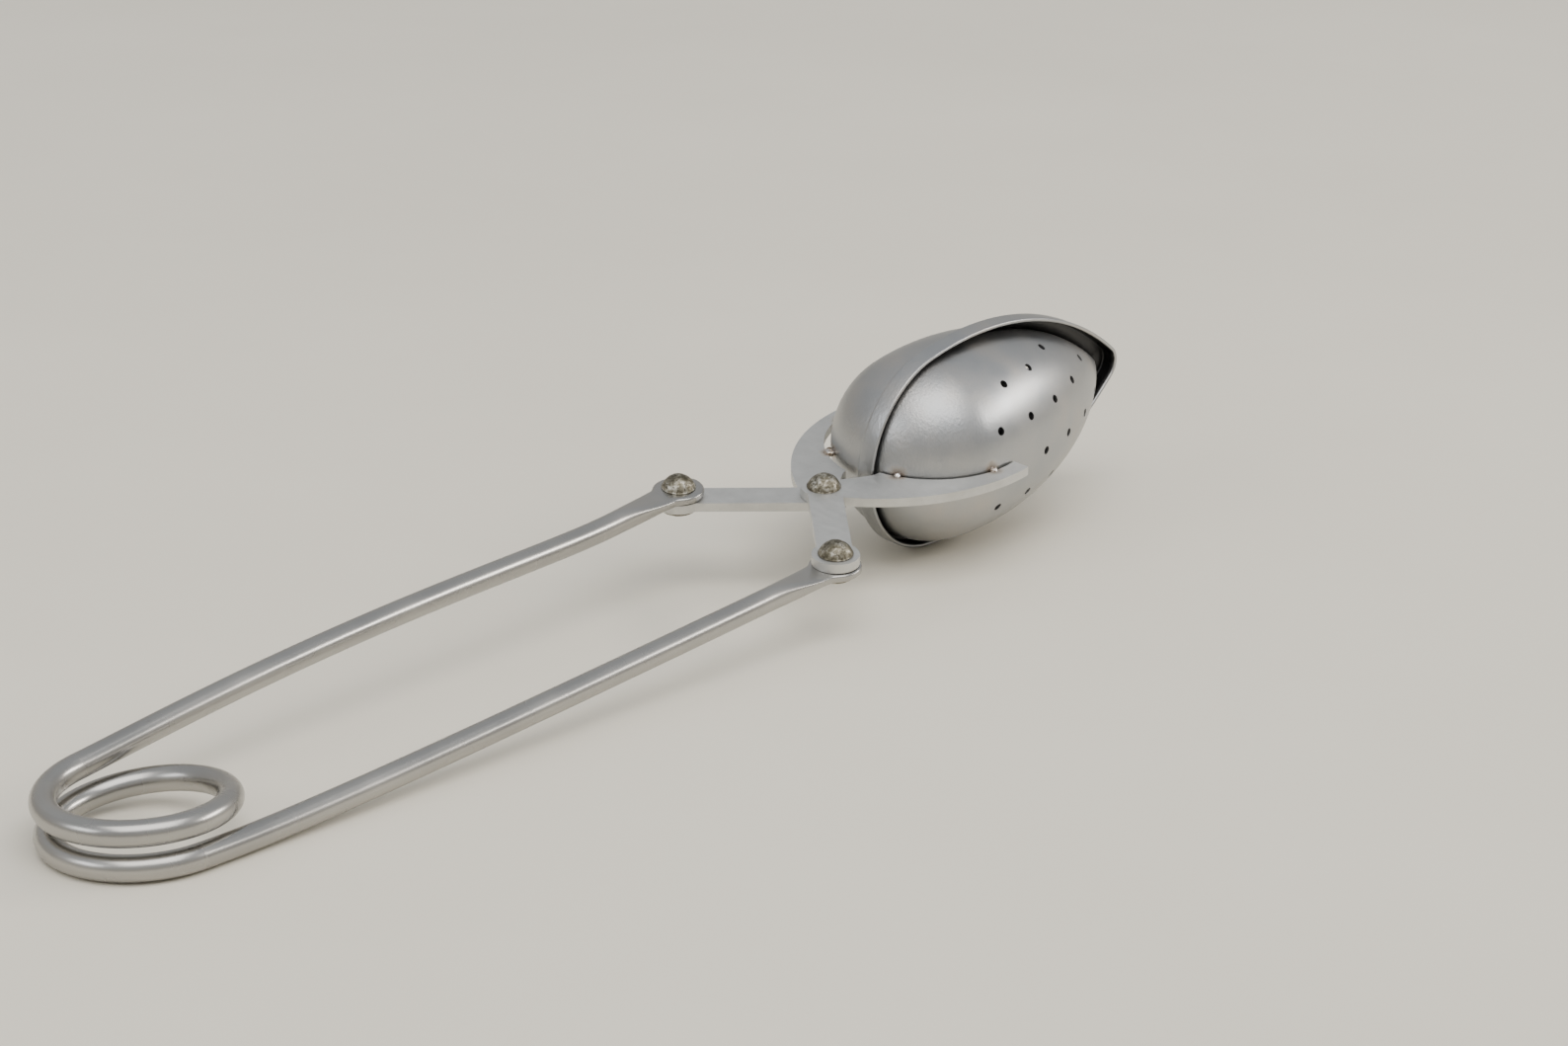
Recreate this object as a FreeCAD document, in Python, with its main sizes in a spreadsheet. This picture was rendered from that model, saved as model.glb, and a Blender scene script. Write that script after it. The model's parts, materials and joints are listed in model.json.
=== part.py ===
# Tea infuser: a spring wire handle whose two arms work a pair of riveted levers,
# each lever carrying one half of a perforated egg.  Squeezing the arms opens the egg.
#
# Mechanism frame: origin on the main pivot, +X to the tip of the egg, +Z along the
# rivets, the rear half on the +Y side.  Each sub-part is drawn in that frame, or in a
# frame of its own placed in it.  The last step lays the whole object down at rest.

import os
import re

import FreeCAD
import Part
import Sketcher
from FreeCAD import Placement, Rotation, Vector
from math import atan2, degrees, radians

DRIVING = {
    # wire handle
    "wire_dia": 3.0,
    "coil_radius": 9.8,
    "coil_height": 5.8,
    "coil_rise": 2.75,
    "coil_lean": 9.3,
    "coil_nod": 3.6,
    "coil_to_pivot": 110.3,
    "arm_bend": 15.0,
    "rear_arm_bow": 1.2,
    "front_arm_bow": -0.25,
    "eyelet_dia": 6.6,
    "eyelet_neck": 4.0,
    "flat_start": 3.4,
    "flat_end": 11.0,
    # riveted levers
    "plate": 1.2,
    "plate_gap": 0.05,
    "rivet_back": 12.9,
    "rivet_side": 13.3,
    "strip_width": 4.4,
    "boss_dia": 6.0,
    "sweep_radius": 25.6,
    "sweep_back": 20.8,
    "sweep_side": 10.1,
    "finger_start": 1.0,
    "finger_length": 22.4,
    "finger_root": 2.6,
    "heel_back": 6.6,
    "heel_side": 2.45,
    "neck_front": 1.0,
    "neck_side": 0.8,
    "front_slot": 0.35,
    "rear_slot": 0.9,
    # rivets
    "shank_dia": 2.5,
    "running_fit": 0.05,
    "main_pivot_slack": 0.45,
    "head_dia": 4.4,
    "head_height": 1.75,
    "foot_dia": 4.8,
    "foot_height": 0.9,
    # egg
    "egg_back": 7.0,
    "egg_front": 59.2,
    "egg_widest": 26.4,
    "egg_half": 14.4,
    "bowl_back": 7.95,
    "bowl_front": 56.0,
    "bowl_widest": 24.0,
    "bowl_half": 13.0,
    "side_radius": 47.5,
    "bowl_metal": 0.45,
    "lip_metal": 0.5,
    "lip_front": 2.05,
    "lip_back": 0.6,
    "hole_dia": 1.0,
    "hole_pitch": 6.3,
    "weld_grip": 0.4,
    # how it lies: on the coil's lower turn and on the egg's lip
    "rest_tilt": 5.72,
    "rest_roll": 5.3,
}


def outline_sizes(name):
    """Arcs of an egg outline: its end arcs sit on the axis, tangent to both side arcs."""
    sizes = {
        # how far beyond the axis the centre of each side arc lies
        "NAME_depth": "side_radius - NAME_half",
        "NAME_blunt": "((NAME_widest - NAME_back)^2 + NAME_depth^2 - side_radius^2)"
                      " / (2 * (NAME_widest - NAME_back) - 2 * side_radius)",
        "NAME_tip": "((NAME_front - NAME_widest)^2 + NAME_depth^2 - side_radius^2)"
                    " / (2 * (NAME_front - NAME_widest) - 2 * side_radius)",
        "NAME_blunt_centre": "NAME_back + NAME_blunt",
        "NAME_tip_centre": "NAME_front - NAME_tip",
        "NAME_blunt_join": "atan2(NAME_depth; NAME_blunt_centre - NAME_widest)",
        "NAME_tip_join": "atan2(NAME_depth; NAME_tip_centre - NAME_widest)",
    }
    return {key.replace("NAME", name): size.replace("NAME", name) for key, size in sizes.items()}


DERIVED = {
    # the lip follows the egg's outline and the two bowls a slimmer one inside it
    **outline_sizes("egg"),
    **outline_sizes("bowl"),
    # half the distance between the two ends of the leaning coil, across the handle
    "coil_half": "coil_radius * cos(coil_lean * 1 deg) + coil_height / 2 * sin(coil_lean * 1 deg)",
    # the arms spread from the ends of the coil to the side rivets
    "arm_flare": "atan((rivet_side - coil_half) / (coil_to_pivot - rivet_back))",
    "coil_turns": "(540 deg - 2 * arm_flare) / 360 deg",
    "coil_pitch": "coil_height / coil_turns",
    "stack": "plate + plate_gap / 2",
    "dome_radius": "(head_dia^2 / 4 + head_height^2) / (2 * head_height)",
}
ALIASES = {**DRIVING, **DERIVED}

# where the welds sit around the blunt end, in degrees from the egg's axis
FRONT_WELDS = (22, 80)
REAR_WELDS = (35, 78)

# rows of holes: height as a share of the pitch, first hole, number of holes
HOLE_ROWS = (
    (0.0, 29.9, 4),
    (0.87, 21.2, 5),
    (-0.87, 21.2, 5),
    (1.55, 25.4, 3),
    (-1.55, 25.4, 3),
)

# a pocket that takes away less than this (mm3) has missed its body
SMALLEST_CUT = 0.01

doc = FreeCAD.newDocument("tea_infuser")
sheet = doc.addObject("Spreadsheet::Sheet", "sizes")
parts = {}


def fill_sheet():
    """One row per size; a derived size is a formula on the others."""
    for row, (alias, content) in enumerate(ALIASES.items(), start=1):
        sheet.set("A%d" % row, alias)
        sheet.set("B%d" % row, "=" + content if alias in DERIVED else str(content))
        sheet.setAlias("B%d" % row, alias)
    doc.recompute()


def linked(formula):
    """The formula with each alias written as a cell of the sheet."""
    def cell(word):
        return "sizes." + word.group() if word.group() in ALIASES else word.group()
    return re.sub(r"[a-z_]+", cell, formula)


def value(formula):
    """What a formula comes to, in millimetres or degrees."""
    result = sheet.evalExpression(linked(formula))
    return float(getattr(result, "Value", result))


# ------------------------------------------------------------------ sketching

def new_body(label):
    body = doc.addObject("PartDesign::Body", label)
    body.Label = label
    parts[label] = body
    return body


def new_sketch(body, name, role, offset=None):
    """A sketch on one of the body's own origin planes, or at an offset from it."""
    sketch = body.newObject("Sketcher::SketchObject", name)
    plane = [feature for feature in body.Origin.OriginFeatures if feature.Role == role][0]
    sketch.AttachmentSupport = (plane, [""])
    sketch.MapMode = "FlatFace"
    if offset:
        sketch.setExpression("AttachmentOffset.Base.z", linked(offset))
    return sketch


def bind(sketch, constraint, formula):
    """Adds a sized constraint that follows the sheet."""
    index = sketch.addConstraint(constraint)
    sketch.setExpression("Constraints[%d]" % index, linked(formula))


def pin(sketch, edge, end, across, up):
    """Holds one point of an edge at a place given by two formulas."""
    if across == "0":
        sketch.addConstraint(Sketcher.Constraint("PointOnObject", edge, end, -2))
    elif across:
        bind(sketch, Sketcher.Constraint("DistanceX", -1, 1, edge, end, value(across)), across)
    if up == "0":
        sketch.addConstraint(Sketcher.Constraint("PointOnObject", edge, end, -1))
    elif up:
        bind(sketch, Sketcher.Constraint("DistanceY", -1, 1, edge, end, value(up)), up)


def add_circle(sketch, across, up, radius):
    circle = Part.Circle(Vector(value(across), value(up), 0), Vector(0, 0, 1), value(radius))
    edge = sketch.addGeometry(circle)
    bind(sketch, Sketcher.Constraint("Radius", edge, value(radius)), radius)
    pin(sketch, edge, 3, across, up)
    return edge


def add_arc(sketch, across, up, radius, first, last):
    """An arc with its centre and radius held; first and last are angles in degrees."""
    circle = Part.Circle(Vector(value(across), value(up), 0), Vector(0, 0, 1), value(radius))
    edge = sketch.addGeometry(Part.ArcOfCircle(circle, radians(first), radians(last)))
    bind(sketch, Sketcher.Constraint("Radius", edge, value(radius)), radius)
    return edge


def add_line(sketch, start, end):
    return sketch.addGeometry(Part.LineSegment(Vector(*start, 0), Vector(*end, 0)))


def join(sketch, edge, end, other, other_end, kind="Coincident"):
    sketch.addConstraint(Sketcher.Constraint(kind, edge, end, other, other_end))


def end_point(sketch, edge, end):
    point = sketch.getPoint(edge, end)
    return (point.x, point.y)


def pinned_loop(sketch, corners):
    """A closed outline of straight edges through corners given as pairs of formulas."""
    points = [(value(across), value(up)) for across, up in corners]
    edges = [add_line(sketch, points[i - 1], points[i]) for i in range(len(points))]
    for i, (across, up) in enumerate(corners):
        join(sketch, edges[i], 2, edges[(i + 1) % len(edges)], 1)
        pin(sketch, edges[i], 2, across, up)


# ------------------------------------------------------------------- features

def pad(body, name, sketch, length, reverse=False):
    feature = body.newObject("PartDesign::Pad", name)
    feature.Profile = sketch
    feature.setExpression("Length", linked(length))
    feature.Reversed = reverse
    return feature


def pocket(body, name, sketch, length, reverse=False, both_ways=False):
    """Cuts the sketch away, and makes sure that it did cut something."""
    doc.recompute()
    before = body.Shape.Volume
    feature = body.newObject("PartDesign::Pocket", name)
    feature.Profile = sketch
    feature.setExpression("Length", linked(length))
    feature.Reversed = reverse
    feature.Midplane = both_ways
    doc.recompute()
    if body.Shape.Volume > before - SMALLEST_CUT:
        raise RuntimeError(name + " cuts nothing")
    return feature


def revolve(body, name, sketch, axis, angle, midplane=False):
    feature = body.newObject("PartDesign::Revolution", name)
    feature.Profile = sketch
    feature.ReferenceAxis = (sketch, [axis])
    feature.Angle = angle
    feature.Midplane = midplane
    return feature


# -------------------------------------------------------------- the wire handle

def coil_place():
    """The coil's middle; it leans towards the rear arm and nods towards the pivot."""
    middle = Vector(-value("coil_to_pivot"), 0, value("coil_rise"))
    lean = Rotation(Vector(1, 0, 0), -value("coil_lean"))
    nod = Rotation(Vector(0, 1, 0), value("coil_nod"))
    return Placement(middle, nod.multiply(lean))


def build_coil():
    """One and a half turns of wire, wound from the front arm up to the rear arm."""
    body = new_body("coil_spring")
    section = new_sketch(body, "coil_section", "XZ_Plane")
    add_circle(section, "coil_radius", "0", "wire_dia / 2")
    coil = body.newObject("PartDesign::AdditiveHelix", "coil_wind")
    coil.Profile = section
    coil.ReferenceAxis = (section, ["V_Axis"])
    coil.Mode = "pitch-turns-angle"
    coil.LeftHanded = True
    coil.setExpression("Pitch", linked("coil_pitch"))
    coil.setExpression("Turns", linked("coil_turns"))
    start = Placement(
        Vector(0, 0, -value("coil_height / 2")),
        Rotation(Vector(0, 0, 1), 270 - value("arm_flare")),
    )
    body.Placement = coil_place().multiply(start)


def build_arm(label, side):
    """A wire arm, drawn from its eyelet (local origin) back to the coil along local X.

    The bow lifts the wire's middle; a quartic curve's middle pole carries 6/16 of it.
    """
    body = new_body(label)
    level = "%d * (plate + plate_gap) / 2" % side
    place = Placement(
        Vector(-value("rivet_back"), side * value("rivet_side"), 0),
        Rotation(Vector(0, 0, 1), 180 + side * value("arm_flare")),
    )
    end, heading = coil_end(place, side)

    section = new_sketch(body, label + "_section", "YZ_Plane", "flat_end")
    add_circle(section, "0", level, "wire_dia / 2")
    route = new_sketch(body, label + "_route", "XZ_Plane")
    start = Vector(value("flat_end"), value(level), 0)
    bend = value("arm_bend")
    middle = (start + end) / 2 + Vector(0, value(label + "_bow") * 16 / 6, 0)
    curve = Part.BezierCurve()
    curve.setPoles([start, start + Vector(bend, 0, 0), middle, end - heading * bend, end])
    route.addGeometry(curve.toBSpline())
    wire = body.newObject("PartDesign::AdditivePipe", label + "_wire")
    wire.Profile = section
    wire.Spine = (route, ["Edge1"])

    full = new_sketch(body, label + "_round_section", "YZ_Plane", "flat_end")
    add_circle(full, "0", level, "wire_dia / 2")
    flat = new_sketch(body, label + "_flat_section", "YZ_Plane", "flat_start")
    add_ellipse(flat, level, "eyelet_neck / 2", "plate / 2")
    taper = body.newObject("PartDesign::AdditiveLoft", label + "_taper")
    taper.Profile = full
    taper.Sections = [flat]

    floor = level + " - plate / 2"
    neck = new_sketch(body, label + "_neck", "XY_Plane", floor)
    pinned_loop(neck, (
        ("0", "-eyelet_neck / 2"),
        ("flat_start", "-eyelet_neck / 2"),
        ("flat_start", "eyelet_neck / 2"),
        ("0", "eyelet_neck / 2"),
    ))
    pad(body, label + "_neck_pad", neck, "plate")
    eye = new_sketch(body, label + "_eye", "XY_Plane", floor)
    add_circle(eye, "0", "0", "eyelet_dia / 2")
    pad(body, label + "_eye_pad", eye, "plate")

    hole = new_sketch(body, label + "_hole", "XY_Plane")
    add_circle(hole, "0", "0", "shank_dia / 2")
    pocket(body, label + "_hole_cut", hole, "6 * plate", both_ways=True)

    body.Placement = place


def coil_end(arm_place, side):
    """Where the coil ends and how its wire heads there, in the arm's own XZ plane."""
    turn = Rotation(Vector(0, 0, 1), side * (90 + value("arm_flare")))
    point = turn.multVec(Vector(value("coil_radius"), 0, 0))
    point.z = side * value("coil_height / 2")
    ahead = turn.multVec(Vector(0, side, 0))
    to_arm = arm_place.inverse().multiply(coil_place())
    end = to_arm.multVec(point)
    heading = to_arm.Rotation.multVec(ahead)
    return Vector(end.x, end.z, 0), Vector(heading.x, heading.z, 0).normalize()


def add_ellipse(sketch, up, half_width, half_height):
    """A flattened wire section, centred on the sketch's vertical axis."""
    centre = Vector(0, value(up), 0)
    across = centre + Vector(value(half_width), 0, 0)
    rise = centre + Vector(0, value(half_height), 0)
    sketch.addGeometry(Part.Ellipse(across, rise, centre))


# ------------------------------------------------------------------- the levers

def build_lever(label, side, floor, slot, pivot_hole):
    """A cranked plate: a strip out to the side rivet and a finger along the bowl."""
    body = new_body(label)

    strip = new_sketch(body, label + "_strip", "XY_Plane", floor)
    rivet = ("-rivet_back", "%d * rivet_side" % side)
    add_strip(strip, *rivet)
    pad(body, label + "_strip_pad", strip, "plate")

    for name, across, up in (("pivot", "0", "0"), ("side", *rivet)):
        boss = new_sketch(body, "%s_%s_boss" % (label, name), "XY_Plane", floor)
        add_circle(boss, across, up, "boss_dia / 2")
        pad(body, "%s_%s_boss_pad" % (label, name), boss, "plate")

    finger = new_sketch(body, label + "_finger", "XY_Plane", floor)
    add_finger(finger, side, slot)
    pad(body, label + "_finger_pad", finger, "plate")

    side_hole = "shank_dia / 2 + running_fit"
    for name, across, up, radius in (("pivot", "0", "0", pivot_hole), ("side", *rivet, side_hole)):
        hole = new_sketch(body, "%s_%s_hole" % (label, name), "XY_Plane")
        add_circle(hole, across, up, radius)
        pocket(body, "%s_%s_cut" % (label, name), hole, "6 * plate", both_ways=True)


def add_strip(sketch, across, up):
    """A rectangle of the strip's width from the origin to the side rivet."""
    rivet = Vector(value(across), value(up), 0)
    aside = Vector(-rivet.y, rivet.x, 0).normalize() * value("strip_width / 2")
    corners = [aside, rivet + aside, rivet - aside, -aside]
    edges = [add_line(sketch, corners[i][:2], corners[(i + 1) % 4][:2]) for i in range(4)]
    for i in range(4):
        join(sketch, edges[i], 2, edges[(i + 1) % 4], 1)
    middle = add_line(sketch, (0, 0), rivet[:2])
    sketch.setConstruction(middle, True)
    join(sketch, middle, 1, -1, 1)
    pin(sketch, middle, 2, across, up)
    for edge, kind in zip(edges, ("Parallel", "Perpendicular", "Parallel", "Perpendicular")):
        sketch.addConstraint(Sketcher.Constraint(kind, edge, middle))
    for edge in (edges[0], edges[2]):
        distance = Sketcher.Constraint("Distance", middle, 1, edge, value("strip_width / 2"))
        bind(sketch, distance, "strip_width / 2")
    sketch.addConstraint(Sketcher.Constraint("PointOnObject", middle, 2, edges[1]))
    sketch.addConstraint(Sketcher.Constraint("PointOnObject", middle, 1, edges[3]))


def add_finger(sketch, side, slot):
    """The finger: an outer sweep and an inner edge that runs beside the bowl."""
    def mirrored(formula):
        return "%d * (%s)" % (side, formula)

    tip = value("finger_length")
    outer = Sweep("sweep_back", mirrored("-sweep_side"), "sweep_radius")
    inner = Sweep("bowl_blunt_centre", "0", "bowl_blunt + " + slot)
    outer_root = outer.at_x(-value("finger_start"), side)
    inner_root = inner.at_y(side * value("finger_root"))
    outer_tip = outer.at_x(tip, side)
    inner_tip = inner.at_x(tip, side)
    outer_edge = outer.draw(sketch, side, outer_root, outer_tip)
    inner_edge = inner.draw(sketch, side, inner_root, inner_tip)

    heel = (value("heel_back"), side * value("heel_side"))
    neck = (value("neck_front"), -side * value("neck_side"))
    tip_line = add_line(sketch, outer_tip, inner_tip)
    heel_line = add_line(sketch, inner_root, heel)
    neck_line = add_line(sketch, heel, neck)
    root_line = add_line(sketch, neck, outer_root)

    # arcs run anticlockwise, so on the rear lever their ends swap
    root_end, tip_end = (1, 2) if side < 0 else (2, 1)
    join(sketch, tip_line, 1, outer_edge, tip_end)
    join(sketch, tip_line, 2, inner_edge, tip_end)
    join(sketch, heel_line, 1, inner_edge, root_end)
    join(sketch, heel_line, 2, neck_line, 1)
    join(sketch, neck_line, 2, root_line, 1)
    join(sketch, root_line, 2, outer_edge, root_end)
    sketch.addConstraint(Sketcher.Constraint("Vertical", tip_line))
    pin(sketch, tip_line, 1, "finger_length", None)
    pin(sketch, outer_edge, root_end, "-finger_start", None)
    pin(sketch, inner_edge, root_end, None, mirrored("finger_root"))
    pin(sketch, heel_line, 2, "heel_back", mirrored("heel_side"))
    pin(sketch, neck_line, 2, "neck_front", mirrored("-neck_side"))


class Sweep:
    """One long arc of a finger's outline, with its centre and radius as formulas."""

    def __init__(self, across, up, radius):
        self.formulas = (across, up, radius)
        self.across, self.up, self.radius = (value(formula) for formula in self.formulas)

    def at_x(self, x, side):
        rise = (self.radius ** 2 - (x - self.across) ** 2) ** 0.5
        return (x, self.up + side * rise)

    def at_y(self, y):
        """The point at height y on the arc's back (-X) half."""
        return (self.across - (self.radius ** 2 - (y - self.up) ** 2) ** 0.5, y)

    def draw(self, sketch, side, root, tip):
        root_angle, tip_angle = (
            degrees(atan2(y - self.up, x - self.across)) for x, y in (root, tip)
        )
        ends = (root_angle, tip_angle) if side < 0 else (tip_angle, root_angle)
        edge = add_arc(sketch, *self.formulas, *ends)
        pin(sketch, edge, 3, *self.formulas[:2])
        return edge


# ------------------------------------------------------------------- the rivets

def build_rivet(label, across, up, lift):
    """A domed head above the plates, a shank through them and a flat foot below."""
    body = new_body(label)
    profile = new_sketch(body, label + "_profile", "XZ_Plane")
    base = "stack + " + lift
    foot = "-stack + %s - running_fit" % lift
    sole = foot + " - foot_height"
    crown = base + " + head_height"
    points = [
        ("head_dia / 2", base),
        ("shank_dia / 2", base),
        ("shank_dia / 2", foot),
        ("foot_dia / 2", foot),
        ("foot_dia / 2", sole),
        ("0", sole),
        ("0", crown),
    ]
    spots = [(value(x), value(z)) for x, z in points]
    edges = [add_line(profile, spots[i], spots[i + 1]) for i in range(len(points) - 1)]
    for i, (x, z) in enumerate(points[:-1]):
        pin(profile, edges[i], 1, x, z)
    pin(profile, edges[-1], 2, *points[-1])
    for first, second in zip(edges, edges[1:]):
        join(profile, first, 2, second, 1)
    centre = crown + " - dome_radius"
    shoulder = degrees(atan2(value(base) - value(centre), value("head_dia / 2")))
    dome = add_arc(profile, "0", centre, "dome_radius", shoulder, 90)
    join(profile, dome, 1, edges[0], 1)
    join(profile, dome, 2, edges[-1], 2)
    revolve(body, label + "_turned", profile, "V_Axis", 360)
    body.Placement = Placement(Vector(value(across), value(up), 0), Rotation())


# ---------------------------------------------------------------------- the egg

def bowl_half(sketch, side, inset):
    """The bowl's half outline on one side of the axis: blunt end, side and tip arcs."""
    blunt_join, tip_join = value("bowl_blunt_join"), value("bowl_tip_join")
    blunt = add_arc(sketch, "bowl_blunt_centre", "0", "bowl_blunt - " + inset,
                    *turned(side, blunt_join, 180))
    flank = add_arc(sketch, "bowl_widest", "%d * bowl_depth" % -side, "side_radius - " + inset,
                    *turned(side, tip_join, blunt_join))
    tip = add_arc(sketch, "bowl_tip_centre", "0", "bowl_tip - " + inset,
                  *turned(side, 0, tip_join))
    first, last = (1, 2) if side > 0 else (2, 1)
    pin(sketch, flank, 3, "bowl_widest", "%d * bowl_depth" % -side)
    pin(sketch, blunt, 3, None, "0")
    pin(sketch, blunt, last, None, "0")
    pin(sketch, tip, 3, None, "0")
    pin(sketch, tip, first, None, "0")
    join(sketch, flank, last, blunt, first, "Tangent")
    join(sketch, tip, last, flank, first, "Tangent")
    return (blunt, last), (tip, first)


def turned(side, first, last):
    """The same stretch of arc on the other side of the axis when side is -1."""
    return (first, last) if side > 0 else (-last, -first)


def outline_loop(sketch, name, inset):
    """A whole outline, seen square to the parting plane."""
    blunt_join, tip_join = value(name + "_blunt_join"), value(name + "_tip_join")
    widest, depth = name + "_widest", name + "_depth"
    flank_radius = "side_radius - " + inset
    blunt = add_arc(sketch, name + "_blunt_centre", "0", "%s_blunt - %s" % (name, inset),
                    blunt_join, 360 - blunt_join)
    tip = add_arc(sketch, name + "_tip_centre", "0", "%s_tip - %s" % (name, inset),
                  -tip_join, tip_join)
    upper = add_arc(sketch, widest, "-" + depth, flank_radius, tip_join, blunt_join)
    lower = add_arc(sketch, widest, depth, flank_radius, -blunt_join, -tip_join)
    pin(sketch, upper, 3, widest, "-" + depth)
    pin(sketch, lower, 3, widest, depth)
    for edge, other in ((upper, blunt), (blunt, lower), (lower, tip), (tip, upper)):
        join(sketch, edge, 2, other, 1, "Tangent")


def build_bowl(label, side):
    """Half of an egg-shaped shell, pierced by rows of holes."""
    body = new_body(label)
    profile = new_sketch(body, label + "_profile", "XY_Plane")
    ends = [bowl_half(profile, side, inset) for inset in ("0", "bowl_metal")]
    for (outer, outer_end), (inner, inner_end) in zip(*ends):
        closing = add_line(profile, end_point(profile, outer, outer_end),
                           end_point(profile, inner, inner_end))
        join(profile, closing, 1, outer, outer_end)
        join(profile, closing, 2, inner, inner_end)
    revolve(body, label + "_shell", profile, "H_Axis", 180, midplane=True)
    if side > 0:
        add_lip(body, label)
    add_holes(body, label, side)


def add_lip(body, label):
    """The rear bowl's edge: a step outwards and a lip that the front bowl closes into."""
    disc = new_sketch(body, label + "_lip_outline", "XZ_Plane", "-lip_back")
    outline_loop(disc, "egg", "0")
    pad(body, label + "_lip_disc", disc, "lip_back + lip_front")
    seat = new_sketch(body, label + "_lip_inside", "XZ_Plane", "lip_front")
    outline_loop(seat, "egg", "lip_metal")
    pocket(body, label + "_lip_seat", seat, "lip_front + lip_back - lip_metal")
    mouth = new_sketch(body, label + "_mouth_outline", "XZ_Plane", "lip_front")
    outline_loop(mouth, "bowl", "bowl_metal")
    pocket(body, label + "_mouth", mouth, "lip_front + lip_back")


def add_holes(body, label, side):
    """Rows of round holes, pierced straight through the shell."""
    holes = new_sketch(body, label + "_holes", "XZ_Plane")
    for share, first, count in HOLE_ROWS:
        for i in range(count):
            add_circle(holes, "%s + %d * hole_pitch" % (first, i), "%s * hole_pitch" % share,
                       "hole_dia / 2")
    pocket(body, label + "_pierced", holes, "egg_half", reverse=side < 0)


# -------------------------------------------------------------------- the welds

def build_welds(label, side, top, slot, angles):
    """Beads along the slot between a finger and its bowl, on the finger's top edge."""
    beads = []
    reach = Vector(-value("bowl_blunt + %s / 2" % slot), 0, 0)
    centre = Vector(value("bowl_blunt_centre"), 0, value(top))
    for i, angle in enumerate(angles, start=1):
        bead = doc.addObject("Part::Sphere", "%s_bead_%d" % (label, i))
        bead.setExpression("Radius", linked(slot + " / 2 + weld_grip"))
        around = Rotation(Vector(0, 0, 1), -side * angle)
        bead.Placement = Placement(centre + around.multVec(reach), Rotation())
        beads.append(bead)
    row = doc.addObject("Part::MultiFuse", label + "_beads")
    row.Shapes = beads
    name = label.split("_")[0]
    beside_bowl = cut(label + "_beside_bowl", row, parts[name + "_bowl"])
    parts[label] = cut(label, beside_bowl, parts[name + "_lever"])
    return beads


def cut(label, base, tool):
    feature = doc.addObject("Part::Cut", label)
    feature.Label = label
    feature.Base = base
    feature.Tool = tool
    return feature


# ---------------------------------------------------------------- the whole object

def lay_down(movable):
    """Tilts everything onto the coil and the lip, centred over the origin."""
    roll = Rotation(Vector(1, 0, 0), value("rest_roll"))
    tilt = Placement(Vector(), Rotation(Vector(0, 1, 0), -value("rest_tilt")).multiply(roll))
    shapes = [part.Shape.copy() for part in parts.values()]
    for shape in shapes:
        shape.Placement = tilt.multiply(shape.Placement)
    box = Part.makeCompound(shapes).optimalBoundingBox(False, False)
    middle = Vector((box.XMin + box.XMax) / 2, (box.YMin + box.YMax) / 2, box.ZMin)
    rest = Placement(-middle, Rotation()).multiply(tilt)
    for item in movable:
        item.Placement = rest.multiply(item.Placement)
    doc.recompute()
    print("pivot laid down at", rest.Base)


def export():
    """Checks every object and each sub-part, then writes one file for each."""
    for item in doc.Objects:
        if "Invalid" in item.State or "Error" in item.State:
            raise RuntimeError(item.Label + " did not compute")
    os.makedirs("parts", exist_ok=True)
    for label, part in parts.items():
        shape = part.Shape
        if shape.isNull() or not shape.isValid():
            raise RuntimeError(label + " has no valid shape")
        shape.exportStep("parts/%s.step" % label)
        print("%-18s %9.2f mm3  %d solids" % (label, shape.Volume, len(shape.Solids)))


fill_sheet()
build_coil()
build_arm("rear_arm", 1)
build_arm("front_arm", -1)
build_lever("rear_lever", 1, "-stack", "rear_slot", "shank_dia / 2 + main_pivot_slack")
build_lever("front_lever", -1, "plate_gap / 2", "front_slot", "shank_dia / 2")
build_rivet("rear_arm_rivet", "-rivet_back", "rivet_side", "0")
build_rivet("front_arm_rivet", "-rivet_back", "-rivet_side", "running_fit")
build_rivet("main_pivot_rivet", "0", "0", "0")
build_bowl("rear_bowl", 1)
build_bowl("front_bowl", -1)
doc.recompute()
bodies = list(parts.values())
beads = build_welds("rear_jaw_welds", 1, "-plate_gap / 2", "rear_slot", REAR_WELDS)
beads += build_welds("front_jaw_welds", -1, "stack", "front_slot", FRONT_WELDS)
doc.recompute()
lay_down(bodies + beads)
export()
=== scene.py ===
"""Looks of the squeeze-handle tea infuser: wire handle, riveted levers and pierced egg.

Shapes are drawn in millimetres in the mechanism's own frame (origin on the main pivot,
X to the tip of the egg, Z along the rivets) and then moved into the row frame.
"""

import json
import math

import bmesh
import bpy
from mathutils import Matrix, Vector, noise


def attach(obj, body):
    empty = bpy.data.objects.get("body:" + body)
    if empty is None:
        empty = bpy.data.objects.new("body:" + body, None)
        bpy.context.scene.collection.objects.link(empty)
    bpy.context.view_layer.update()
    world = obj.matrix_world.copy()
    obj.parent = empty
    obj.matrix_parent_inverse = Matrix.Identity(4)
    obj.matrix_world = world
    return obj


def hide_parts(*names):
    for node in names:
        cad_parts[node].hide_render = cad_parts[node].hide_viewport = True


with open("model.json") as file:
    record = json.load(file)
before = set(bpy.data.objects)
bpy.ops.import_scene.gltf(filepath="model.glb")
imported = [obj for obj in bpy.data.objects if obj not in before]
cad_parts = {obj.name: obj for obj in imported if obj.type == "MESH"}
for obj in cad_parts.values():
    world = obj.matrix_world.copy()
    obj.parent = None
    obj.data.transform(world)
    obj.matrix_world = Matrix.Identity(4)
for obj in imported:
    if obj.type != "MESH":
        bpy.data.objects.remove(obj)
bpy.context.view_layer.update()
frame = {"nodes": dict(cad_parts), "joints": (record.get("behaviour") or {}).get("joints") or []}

MM = 0.001

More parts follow.
